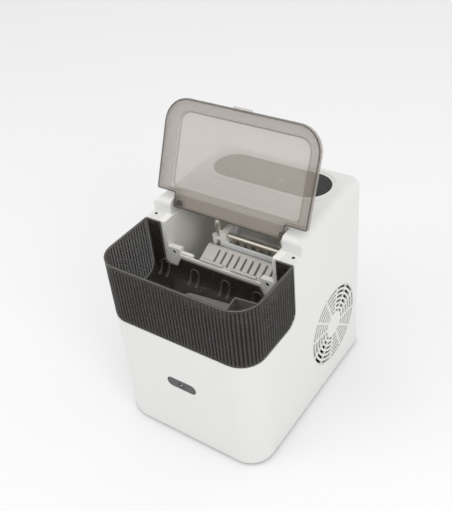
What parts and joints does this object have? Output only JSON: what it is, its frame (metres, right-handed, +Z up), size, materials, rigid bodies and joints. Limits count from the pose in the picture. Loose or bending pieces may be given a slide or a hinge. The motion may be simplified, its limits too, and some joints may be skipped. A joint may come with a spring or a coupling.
{
  "type": "countertop ice maker",
  "caption": "Compact countertop ice maker with a smoky flip-up lid, ribbed lift-out ice bucket, round side vents and a pill-shaped control panel.",
  "frame": {"origin": "on the worktop under the middle of the body, at the level of the feet's undersides", "axes": "+Z up; the front with the badge and the ice bucket faces -Y; +X is the right-hand side of someone who stands in front and looks at it"},
  "size_m": [0.224, 0.292, 0.4125],
  "materials": {
    "casing_white": "smooth satin moulding",
    "base_grey": "matt",
    "foot_rubber": "matt",
    "screw_steel": "plain",
    "badge_grey": "satin print",
    "lid_smoke": "clear smoky acrylic",
    "tab_clear": "clear",
    "pin_dark": "dark",
    "panel_black": "high gloss",
    "key_black": "high gloss",
    "lamp_clear": "clear",
    "board_green": "lacquered",
    "bucket_smoke": "dark smoky translucent",
    "scoop_grey": "clear satin",
    "tank_plastic": "satin",
    "liner_white": "satin",
    "foam_black": "foam",
    "eye_black": "gloss",
    "tray_clear": "satin",
    "shaft_steel": "turned",
    "motor_zinc": "zinc plated",
    "finger_metal": "nickel plated",
    "pump_black": "matt",
    "impeller_white": "matt",
    "hose_silicone": "milky",
    "pipe_plastic": "matt",
    "compressor_black": "satin black",
    "copper_pipe": "bare copper",
    "fin_aluminium": "bare sheet",
    "fan_black": "matt",
    "coil_blue": "matt"
  },
  "bodies": {
    "casing": {"outer_shell": "casing_white", "base_tray": "base_grey", "rubber_feet": "foot_rubber", "rear_panel": "casing_white", "rear_screws": "screw_steel", "top_cover": "casing_white", "side_grille_right": "casing_white", "side_grille_left": "casing_white", "front_badge": "badge_grey", "hinge_pins": "pin_dark", "lid_bumpers": "foot_rubber", "panel_overlay": "panel_black", "indicator_lights": "lamp_clear", "control_board": "board_green", "water_tank": "tank_plastic", "chamber_liner": "liner_white", "foam_left": "foam_black", "foam_right": "foam_black", "ice_level_eyes": "eye_black", "ice_slide": "liner_white", "tray_frame": "liner_white", "tray_pivot_pin": "shaft_steel", "tray_motor": "motor_zinc", "evaporator": "finger_metal", "pump_body": "pump_black", "pump_shaft": "shaft_steel", "water_hose": "hose_silicone", "level_probes": "shaft_steel", "drain_pipe": "pipe_plastic", "power_inlet": "pump_black", "compressor": "compressor_black", "compressor_grommets": "foot_rubber", "condenser_coil": "copper_pipe", "condenser_plates": "fin_aluminium", "fan_shroud": "fan_black", "fan_motor": "fan_black", "gas_valve": "coil_blue", "filter_drier": "copper_pipe", "discharge_pipe": "copper_pipe", "liquid_pipe": "copper_pipe", "suction_pipe": "copper_pipe", "hot_gas_pipe": "copper_pipe", "valve_feed_pipe": "copper_pipe", "power_board": "board_green"},
    "lid": {"lid": "lid_smoke", "lid_finger_tab": "tab_clear"},
    "bucket": {"ice_bucket": "bucket_smoke"},
    "scoop": {"ice_scoop": "scoop_grey"},
    "tray": {"water_tray": "tray_clear", "tray_shaft": "shaft_steel"},
    "fan": {"fan_rotor": "fan_black"},
    "impeller": {"pump_impeller": "impeller_white"},
    "power_key": {"power_key": "key_black"},
    "size_key": {"size_key": "key_black"},
    "drain_plug": {"drain_plug": "pump_black"}
  },
  "joints": [
    {"name": "lid_hinge", "type": "hinge", "parent": "casing", "child": "lid", "pos_m": [0, -0.008, 0.28], "axis": [-1, 0, 0], "range_deg": [-113, 0]},
    {"name": "bucket_lift", "type": "slide", "parent": "casing", "child": "bucket", "axis": [0, 0, 1], "range_m": [0, 0.1]},
    {"name": "scoop_lift", "type": "slide", "parent": "bucket", "child": "scoop", "axis": [0, 0, 1], "range_m": [0, 0.12]},
    {"name": "tray_tilt", "type": "hinge", "parent": "casing", "child": "tray", "pos_m": [0, 0.027, 0.25], "axis": [1, 0, 0], "range_deg": [0, 80]},
    {"name": "fan_spin", "type": "hinge", "parent": "casing", "child": "fan", "pos_m": [0.095, 0.059, 0.096], "axis": [1, 0, 0], "continuous": true},
    {"name": "impeller_spin", "type": "hinge", "parent": "casing", "child": "impeller", "pos_m": [-0.032, -0.077, 0.056], "axis": [0, 0, 1], "continuous": true},
    {"name": "power_key_press", "type": "slide", "parent": "casing", "child": "power_key", "axis": [0, 0, -1], "range_m": [0, 0.0008], "stiffness_N_per_m": 300, "springref_m": -0.0008},
    {"name": "size_key_press", "type": "slide", "parent": "casing", "child": "size_key", "axis": [0, 0, -1], "range_m": [0, 0.0008], "stiffness_N_per_m": 300, "springref_m": -0.0008},
    {"name": "drain_plug_pull", "type": "slide", "parent": "casing", "child": "drain_plug", "axis": [0, 1, 0], "range_m": [0, 0.03]}
  ]
}
